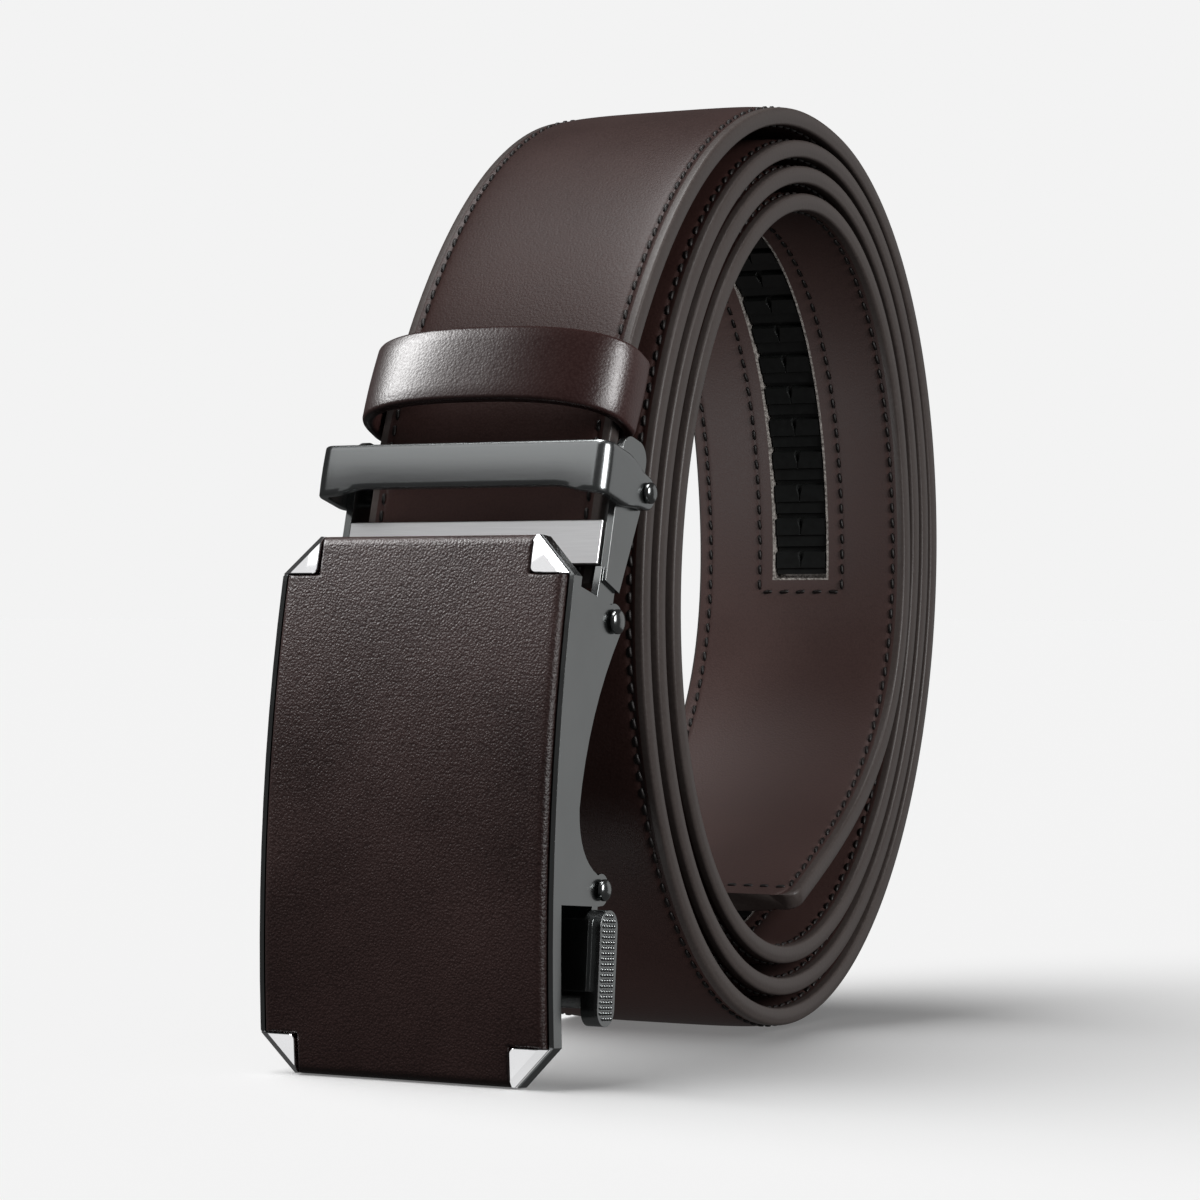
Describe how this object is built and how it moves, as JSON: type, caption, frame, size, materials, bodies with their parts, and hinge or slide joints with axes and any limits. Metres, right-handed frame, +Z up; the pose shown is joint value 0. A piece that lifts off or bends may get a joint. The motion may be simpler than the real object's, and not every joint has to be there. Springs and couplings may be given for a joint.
{
  "type": "ratchet belt",
  "caption": "Padded leather strap coiled upright on its rim, with a toothed track, a keeper loop, a clamp with a bail, and a hinged leather-faced buckle.",
  "frame": {"origin": "middle of the belt's footprint, on the surface that it stands on", "axes": "+Z up, +X along the width of the strap, -Y to the front where the buckle is; +Y is also the longest way through the belt"},
  "size_m": [0.0472, 0.1336, 0.132],
  "materials": {
    "strap_leather": "fine-grained dark brown leather, satin, stitched along both rims",
    "keeper_leather": "fine-grained dark brown leather band, satin",
    "panel_leather": "pebbled dark brown leather, satin",
    "track_rubber": "smooth black moulded teeth",
    "gunmetal": "polished dark grey plating",
    "bright_plate": "bright satin metal",
    "corner_chrome": "mirror-bright plating"
  },
  "bodies": {
    "belt": {"strap": "strap_leather", "ratchet_track": "track_rubber", "keeper_loop": "keeper_leather", "clamp_base": "gunmetal", "clamp_plate": "bright_plate", "hinge_pin": "gunmetal"},
    "clamp_lever": {"bail": "gunmetal", "clamp_jaw": "gunmetal", "clamp_pin": "gunmetal"},
    "buckle": {"buckle_frame": "gunmetal", "face_panel": "panel_leather", "cap_top_left": "corner_chrome", "cap_top_right": "corner_chrome", "cap_bottom_left": "corner_chrome", "cap_bottom_right": "corner_chrome", "lever_pin": "gunmetal"},
    "release": {"release_lever": "gunmetal"}
  },
  "joints": [
    {"name": "clamp_lift", "type": "hinge", "parent": "belt", "child": "clamp_lever", "pos_m": [-0.00075, -0.0404, 0.07486], "axis": [-1, 0, 0], "range_deg": [0, 16]},
    {"name": "buckle_swing", "type": "hinge", "parent": "belt", "child": "buckle", "pos_m": [-0.00075, -0.04958, 0.0582], "axis": [-1, 0, 0], "range_deg": [0, 34]},
    {"name": "release_pull", "type": "hinge", "parent": "buckle", "child": "release", "pos_m": [-0.00075, -0.05318, 0.02419], "axis": [1, 0, 0], "range_deg": [0, 12], "stiffness_Nm_per_rad": 0.05, "springref_deg": -17.19}
  ]
}
